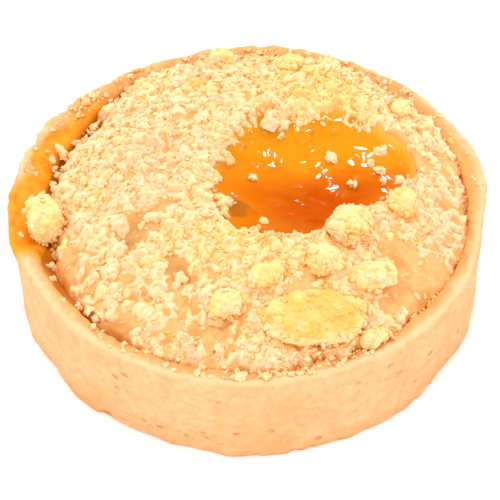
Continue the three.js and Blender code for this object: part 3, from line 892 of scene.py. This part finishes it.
def make_heap(rng, spots, sizes):
    """The crumble that lies thickly on the filling, as one rough surface."""
    across = np.arange(-RIM_RADIUS, RIM_RADIUS, HEAP_STEP)
    x, y = np.meshgrid(across, across)
    angle = np.arctan2(y, x)
    on_curd = well_share(x, y) < 1
    off_top = np.hypot(x, y) > top_radius(angle) - 1.3 * openness(angle)
    ground = np.where(on_curd, curd_height(x, y), dome_height(x, y) + baked_relief(x, y)[0])
    thick = cover(x, y) * ~on_curd * ~off_top
    height, tone = heap_of(rng, x, y, ground - BURIED * off_top, spots, sizes)
    bed = dome_height(x, y) - HEAP_BED["low"] + HEAP_BED["rough"] * noise(flat(x, y), 0.9, 93)
    bed += HEAP_BED["rise"] * ease(thick, 0.3, 0.8)
    height = np.maximum(height, np.where(thick > 0, bed, -9))
    height = lerp(smoothed(height), smoothed(smoothed(height)), 0.5)

    kept = height > ground - 0.4
    cell = kept[:-1, :-1] | kept[1:, :-1] | kept[:-1, 1:] | kept[1:, 1:]
    number = np.arange(x.size).reshape(x.shape)
    corners = [c[cell] for c in (number[:-1, :-1], number[:-1, 1:], number[1:, 1:], number[1:, :-1])]
    faces = np.stack([corners[i] for i in (0, 1, 2, 0, 2, 3)], -1).reshape(-1, 3)
    used, faces = np.unique(faces, return_inverse=True)

    slope_y, slope_x = np.gradient(height, HEAP_STEP)
    normal = np.stack([-slope_x, -slope_y, np.ones_like(x)], -1)
    normal = (normal / np.linalg.norm(normal, axis=-1, keepdims=True)).reshape(-1, 3)[used]
    points = np.stack([x, y, height], -1).reshape(-1, 3)[used]
    push = 0.26 * (grains(points, 0.95, 94) - 0.5) + layered(points, [(0.15, 0.5, 95), (0.08, 0.36, 96)])
    push += 0.6 * (1 - normal[:, 2]) * noise(points, 0.8, 98)
    points += normal * push[:, None]
    return build_mesh("crumble_heap", points, faces.reshape(-1, 3), {"tone": tone.ravel()[used]})


# Loose crumbs: how many, from what size to what, how deep they sink, and how finely they are made.
HEAPED = {"spacing": 1.05, "sizes": (0.8, 1.9), "sunk": 0.5, "packed": 80}
ON_RIM = {"count": 130, "sizes": (0.6, 1.4), "sunk": 0.45, "detail": 2, "yellower": 0.15}
SMALL = {"count": 1300, "sizes": (0.45, 1.1), "sunk": 0.45, "detail": 2, "on_edges": 900}
GRAINS = {"count": 3400, "sizes": (0.25, 0.55), "sunk": 0.35, "detail": 1}
IN_SEAM = {"count": 700, "detail": 2}
PLACED_DETAIL = 3
ROOM_ABOVE = 0.4


def make_crumbs(bases, lumps):
    rng = np.random.default_rng(5)
    highest = CAD_BOUNDS[1][2] / MM + ROOM_ABOVE
    lump_tree = surfaces(lumps)
    made = []

    def wanted(sparse, on_lumps):
        def chance(x, y):
            held = np.where(heights(lump_tree, x, y) > 0, on_lumps, 1)
            return filling_chance(x, y, sparse) * held + rim_chance(x, y)
        return chance

    def rested(places, kind):
        """Middles and sizes of crumbs at rest on all that is made so far, each sunk a little."""
        x, y = places
        sizes = lerp(*kind["sizes"], rng.uniform(0, 1, len(x)) ** 1.5)
        ground = heights(surfaces(bases + (lumps + made if made else [])), x, y)
        return np.stack([x, y, ground + sizes * (0.5 - kind["sunk"])], -1), sizes

    def add(name, spots, sizes, detail, tones=None):
        low = spots[:, 2] + sizes / 2 < highest
        tones = crumb_tones(rng, spots) if tones is None else tones
        made.append(crumbs_mesh(name, spots[low], sizes[low], tones[low], detail, 100 * len(made)))

    spots, sizes = modelled_crumbs("filling", dome_height)
    places = spread(rng, HEAPED["spacing"], lambda x, y: filling_chance(x, y, 0.08))
    more_spots, more_sizes = rested(places, HEAPED)
    more_spots[:, 2] += 0.3 * noise(flat(*more_spots[:, :2].T), 3, 97)
    packed_spots, packed_sizes = packed_crumbs(rng, HEAPED["packed"])
    spots = np.concatenate([spots, more_spots, packed_spots])
    made.append(make_heap(rng, spots, np.concatenate([sizes, more_sizes, packed_sizes])))

    placed = [modelled_crumbs("crust", rim_top), modelled_crumbs("lemon_curd", curd_height), wedged_crumbs()]
    spots, sizes = (np.concatenate(part) for part in zip(*placed))
    add("crumble_lumps", spots, sizes, PLACED_DETAIL)
    add("crumble_in_seam", *seam_crumbs(rng, IN_SEAM["count"]), IN_SEAM["detail"])

    spots, sizes = rested(scattered(rng, ON_RIM["count"], rim_chance), ON_RIM)
    add("crumble_on_rim", spots, sizes, ON_RIM["detail"], crumb_tones(rng, spots) + ON_RIM["yellower"])

    spots, sizes = rested(scattered(rng, SMALL["count"], wanted(0.2, 0.05)), SMALL)
    edge_spots, edge_sizes, edge_tones = edge_crumbs(rng, lumps, SMALL["on_edges"])
    tones = np.concatenate([crumb_tones(rng, spots), edge_tones])
    spots, sizes = np.concatenate([spots, edge_spots]), np.concatenate([sizes, edge_sizes])
    add("crumble_small", spots, sizes, SMALL["detail"], tones)

    spots, sizes = rested(scattered(rng, GRAINS["count"], wanted(0.15, 0.1)), GRAINS)
    add("crumble_grains", spots, sizes, GRAINS["detail"])
    return made


SKY_REACH, SKY_RAYS = 3.0, 13


def mark_hidden(pieces):
    """Give each point a value `hidden`: how much of the sky above it near things cover, from 0 to 1."""
    lift = 0.06
    tree = surfaces(pieces)
    turn = np.arange(SKY_RAYS) * math.pi * (3 - math.sqrt(5))
    up = np.linspace(0.15, 0.95, SKY_RAYS)
    ways = round_about(np.sqrt(1 - up * up), turn, up)
    for piece in pieces:
        points, _ = mesh_arrays(piece)
        normals = rows(piece.data.vertices, "normal")
        facing = np.maximum(normals @ ways.T, 0)
        origins = (points + lift * normals).tolist()
        covered = np.zeros(facing.shape)
        for number, way in enumerate(map(Vector, ways)):
            for i in np.flatnonzero(facing[:, number] > 0.05).tolist():
                distance = tree.ray_cast(origins[i], way, SKY_REACH)[3]
                if distance is not None:
                    covered[i, number] = 1 - distance / SKY_REACH
        hidden = (covered * facing).sum(1) / np.maximum(facing.sum(1), TINY)
        hidden[facing.sum(1) < 0.5] = 1
        set_value(piece.data, "hidden", hidden)


# ---- materials

class Shader:
    """A material with a Principled surface and short ways to wire nodes into it."""

    def __init__(self, name):
        self.material = bpy.data.materials.new(name)
        self.material.use_nodes = True
        self.nodes = self.material.node_tree.nodes
        self.links = self.material.node_tree.links
        self.position = self.node("TexCoord").outputs["Object"]

    def node(self, kind, **inputs):
        """A new node with its named inputs set, or wired to another node."""
        node = self.nodes.new("ShaderNode" + kind)
        for key, value in inputs.items():
            self.wire(value, node.inputs[key])
        return node

    def wire(self, value, socket):
        if isinstance(value, bpy.types.NodeSocket):
            self.links.new(value, socket)
        else:
            socket.default_value = value

    def noise(self, size, detail, roughness=0.55):
        place = {"Vector": self.position, "Scale": 1 / (size * MM)}
        return self.node("TexNoise", **place, Detail=detail, Roughness=roughness).outputs["Fac"]

    def pits(self, spacing, share):
        """1 in small flat pits about `spacing` apart, as wide as `share` of it."""
        squashed = self.node("Mapping", Vector=self.position, Scale=(1, 1, 1.4)).outputs["Vector"]
        cell = self.node("TexVoronoi", Vector=squashed, Scale=1 / (spacing * MM))
        spots = self.ramp(cell.outputs["Distance"], (0.5 * share, WHITE), (share, BLACK))
        return self.times(spots, self.rise(self.noise(6, 4), 0.45, 0.6))

    def value(self, name):
        node = self.node("Attribute")
        node.attribute_name = name
        return node.outputs["Fac"]

    def ramp(self, factor, *stops):
        node = self.node("ValToRGB", Fac=factor)
        elements = node.color_ramp.elements
        while len(elements) < len(stops):
            elements.new(0.5)
        for element, (at, colour) in zip(elements, stops):
            element.position = at
            element.color = (*colour, 1)
        return node.outputs["Color"]

    def rise(self, factor, low, high, top=1):
        """0 up to one value of the factor, rising to `top` at another."""
        return self.ramp(factor, (low, BLACK), (high, grey(top)))

    def mix(self, factor, first, second):
        node = self.node("Mix")
        node.data_type = "RGBA"
        self.wire(factor, node.inputs[0])
        for value, socket in ((first, node.inputs[6]), (second, node.inputs[7])):
            self.wire(value if isinstance(value, bpy.types.NodeSocket) else (*value, 1), socket)
        return node.outputs[2]

    def times(self, first, second):
        node = self.node("Math")
        node.operation = "MULTIPLY"
        self.wire(first, node.inputs[0])
        self.wire(second, node.inputs[1])
        return node.outputs[0]

    def bump(self, height, depth, **onto):
        return self.node("Bump", Height=height, Distance=depth * MM, **onto).outputs["Normal"]

    def finish(self, **sockets):
        """The material, with sockets of its surface set or wired."""
        surface = self.nodes["Principled BSDF"].inputs
        for key, value in sockets.items():
            self.wire(value, surface[key.replace("_", " ")])
        return self.material


PASTRY = (0.74, 0.37, 0.16)
PASTRY_PALE = (0.77, 0.455, 0.23)
PASTRY_TOASTED = (0.62, 0.27, 0.075)
PASTRY_LIP_HIGHLIGHT = (0.79, 0.475, 0.25)
PASTRY_INNER_SHADE = (0.66, 0.28, 0.07)
PASTRY_PIT = (0.5, 0.2, 0.05)
SYRUP = (0.8, 0.3, 0.01)
SYRUP_DEEP_AND_SHADE = (0.7, 0.18, 0.003)
GAP_PAINTED_SHADE = (0.42, 0.11, 0.003)
FILLING = (0.7, 0.32, 0.09)
FILLING_PALE = (0.755, 0.38, 0.135)
FILLING_TOASTED_AND_DIP_SHADE = (0.58, 0.245, 0.045)
FILLING_EDGE_SHADE = (0.6, 0.2, 0.02)
HOLLOW_SHADE = (0.5, 0.23, 0.05)
CAVE_SHADE = (0.36, 0.1, 0.006)
CRUMB_PEACH = (0.78, 0.5, 0.285)
CRUMB_PALE = (0.79, 0.57, 0.325)
CRUMB_YELLOW = (0.79, 0.55, 0.21)
CRUMB_GOLD = (0.77, 0.42, 0.09)
# Painted shade colours, for places where near things hide the sky.
CREVICE_PALE_SHADE = (0.86, 0.45, 0.115)
CREVICE_SHADE = (0.84, 0.32, 0.03)
CURD_BRIGHT = (0.6, 0.225, 0.006)
CURD_MIDDLE = (0.54, 0.12, 0.002)
CURD_DEEP_AND_SHADED = (0.44, 0.064, 0.0005)
CURD_THIN = (0.74, 0.33, 0.045)
BLACK, WHITE = (0, 0, 0), (1, 1, 1)


def grey(level):
    return (level,) * 3


def pastry_material():
    s = Shader("shortcrust")
    mottle = s.ramp(s.noise(1.6, 6, 0.7), (0.4, PASTRY), (0.62, PASTRY_PALE))
    blotch = s.rise(s.noise(11, 3), 0.45, 0.7)
    colour = s.mix(s.times(blotch, 0.4), mottle, PASTRY_TOASTED)
    # Painted shade towards the rim's inner edge and on the inner wall.
    colour = s.mix(s.times(s.value("inner"), 0.8), colour, PASTRY_INNER_SHADE)
    # Painted highlight along the rim's outer crest.
    colour = s.mix(s.times(s.value("lip_highlight"), 0.8), colour, PASTRY_LIP_HIGHLIGHT)
    patchy = s.rise(s.noise(3.5, 4), 0.35, 0.65, 0.7)
    colour = s.mix(s.times(s.value("toasted"), patchy), colour, PASTRY_TOASTED)
    pits = s.times(s.pits(3.2, 0.24), s.value("wall"))
    colour = s.mix(s.times(pits, 0.6), colour, PASTRY_PIT)
    glaze = s.ramp(s.noise(2.5, 3), (0.35, SYRUP), (0.7, SYRUP_DEEP_AND_SHADE))
    colour = s.mix(s.value("syrup"), colour, glaze)
    # Painted shade: the deep syrup colour where near things hide the sky.
    colour = s.mix(s.rise(s.value("hidden"), 0.3, 0.8), colour, SYRUP_DEEP_AND_SHADE)
    # Painted shade in the gap between the crust and the filling, and on the glazed ledge beside it.
    colour = s.mix(s.value("gap"), colour, GAP_PAINTED_SHADE)
    roughness = s.ramp(s.value("syrup"), (0.2, grey(0.7)), (0.8, grey(0.25)))
    relief = s.bump(pits, -0.3, Normal=s.bump(s.noise(0.5, 5, 0.7), 0.14))
    return s.finish(Base_Color=colour, Roughness=roughness, Specular_IOR_Level=0.1, Normal=relief)


def shaded(s, colour):
    """Painted shade: the colour turned a warm, darker orange where near things hide the sky and little light
    comes in, as in crumb that light shines through.
    """
    hidden = s.value("hidden")
    warm_shade = s.ramp(hidden, (0.35, CREVICE_PALE_SHADE), (0.75, CREVICE_SHADE))
    return s.mix(s.rise(hidden, 0.14, 0.48), colour, warm_shade)


def filling_material():
    s = Shader("baked_filling")
    baked = s.ramp(s.noise(1.8, 6, 0.65), (0.35, FILLING_TOASTED_AND_DIP_SHADE), (0.5, FILLING), (0.65, FILLING_PALE))
    # Painted light and shade: the filling paler on its swellings and darker in the dips between them.
    lumps_lit_and_shaded = s.ramp(s.value("swelling"), (0.15, FILLING_TOASTED_AND_DIP_SHADE), (0.5, FILLING), (0.8, FILLING_PALE))
    # Painted shade on the filling's sides and brink, in the gap beside the crust.
    colour = s.mix(s.value("painted_edge_shade"), s.mix(0.6, baked, lumps_lit_and_shaded), FILLING_EDGE_SHADE)
    # Painted shade where near things hide the sky, then a darker tan painted into the hollows as shade.
    colour = s.mix(s.value("painted_hollow_shade"), shaded(s, colour), HOLLOW_SHADE)
    # Painted shade under the crumbs that overhang the curd's left edge.
    colour = s.mix(s.value("painted_cave_shade"), colour, CAVE_SHADE)
    return s.finish(Base_Color=colour, Roughness=0.75, Normal=s.bump(s.noise(0.4, 5, 0.65), 0.15))


def curd_material():
    s = Shader("lemon_curd")
    # Deeper towards the front of the well: the thick curd's own colour, and painted shade under the front
    # lip.
    depth = s.ramp(s.value("thick_and_shaded"), (0.0, CURD_BRIGHT), (0.45, CURD_MIDDLE), (0.9, CURD_DEEP_AND_SHADED))
    cloudy = s.rise(s.noise(4, 3), 0.45, 0.75, 0.3)
    colour = s.mix(cloudy, depth, CURD_BRIGHT)
    colour = s.mix(s.value("thin"), colour, CURD_THIN)
    # Painted shade under the crumbs that overhang the curd's left edge.
    colour = s.mix(s.rise(s.value("painted_cave_shade"), 0.5, 0.9), colour, CAVE_SHADE)
    gloss = s.ramp(s.value("wet"), (0.0, grey(0.02)), (1.0, WHITE))
    return s.finish(Base_Color=colour, Roughness=0.1, IOR=1.3, Specular_IOR_Level=gloss)


def crumb_material(name, translucent):
    s = Shader(name)
    tones = (0.15, CRUMB_PEACH), (0.5, CRUMB_PALE), (0.8, CRUMB_YELLOW), (1.0, CRUMB_GOLD)
    # Crumb tones, with painted shade where near things hide the sky.
    colour = shaded(s, s.ramp(s.value("tone"), *tones))
    if translucent:
        lit = s.ramp(s.value("hidden"), (0.12, WHITE), (0.35, BLACK))
        s.finish(Subsurface_Weight=lit, Subsurface_Scale=1.0 * MM, Subsurface_Radius=(1.0, 0.75, 0.4))
    return s.finish(Base_Color=colour, Roughness=0.8, Normal=s.bump(s.noise(0.3, 5, 0.7), 0.12))


# ---- room

def make_floor():
    half = 3000
    corners = np.array([(-half, -half, 0), (half, -half, 0), (half, half, 0), (-half, half, 0)], float)
    floor = build_mesh("floor", corners, np.array([[0, 1, 2, 3]]))
    floor.data.materials.append(Shader("pale_floor").finish(Base_Color=(*grey(0.9), 1), Roughness=0.9))


# Round lamps: (name, place, size, watts).
LAMPS = [("key", (-0.12, -0.6, 0.9), 0.8, 3), ("glint", (-0.04, 0.8, 1.0), 0.2, 4)]
SURROUND = 1.5


def make_lights():
    for name, place, size, power in LAMPS:
        light = bpy.data.lights.new(name, "AREA")
        light.shape, light.size, light.energy = "DISK", size, power
        lamp = show(name, light)
        lamp.location = place
        lamp.rotation_euler = (-Vector(place)).to_track_quat("-Z", "Y").to_euler()
    world = bpy.data.worlds.new("studio")
    world.use_nodes = True
    background = world.node_tree.nodes["Background"].inputs
    background["Color"].default_value = (*WHITE, 1)
    background["Strength"].default_value = SURROUND
    bpy.context.scene.world = world
    bpy.context.scene.view_settings.view_transform = "Standard"


VIEW = {"elevation": 45.8, "roll": 0.5, "distance": 0.4, "pivot": 0.01}
LENS = {"focal": 169.1, "sensor": 36, "nearest": 0.01}
AIM = Vector((0.0001, 0, 0.00756))


def make_camera():
    """A camera in front of the tart, raised to its elevation round the pivot's height."""
    elevation, distance = math.radians(VIEW["elevation"]), VIEW["distance"]
    camera = bpy.data.cameras.new("camera")
    camera.lens, camera.sensor_width, camera.clip_start = LENS["focal"], LENS["sensor"], LENS["nearest"]
    obj = show("camera", camera)
    obj.location = (0, -distance * math.cos(elevation), VIEW["pivot"] + distance * math.sin(elevation))
    roll = Quaternion((0, 0, 1), -math.radians(VIEW["roll"]))
    obj.rotation_euler = ((AIM - obj.location).to_track_quat("-Z", "Y") @ roll).to_euler()
    bpy.context.scene.camera = obj


# ---- the tart

def dress(obj, material, slot, *nodes):
    obj.data.materials.append(material)
    if nodes:
        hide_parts(*nodes)
    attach(obj, "root")


def main():
    make_camera()
    make_floor()
    make_lights()
    crust, filling, curd = make_crust(), make_filling(), make_curd()
    crumble, heaped = crumb_material("crumble", False), crumb_material("crumble_heap", True)
    dress(crust, pastry_material(), "shortcrust", "crust")
    dress(filling, filling_material(), "baked_filling", "filling")
    dress(curd, curd_material(), "curd", "lemon_curd")
    lumps = []
    for seed, node in enumerate(LARGE_CRUMBS):
        lump = make_large_crumb(node, 200 + 20 * seed)
        dress(lump, heaped, "crumble", node)
        lumps.append(lump)
    loose = make_crumbs([crust, filling, curd], lumps)
    for piece in loose:
        dress(piece, heaped if piece.name == "crumble_heap" else crumble, "crumble")
    mark_hidden([crust, filling, *lumps, *loose])


main()
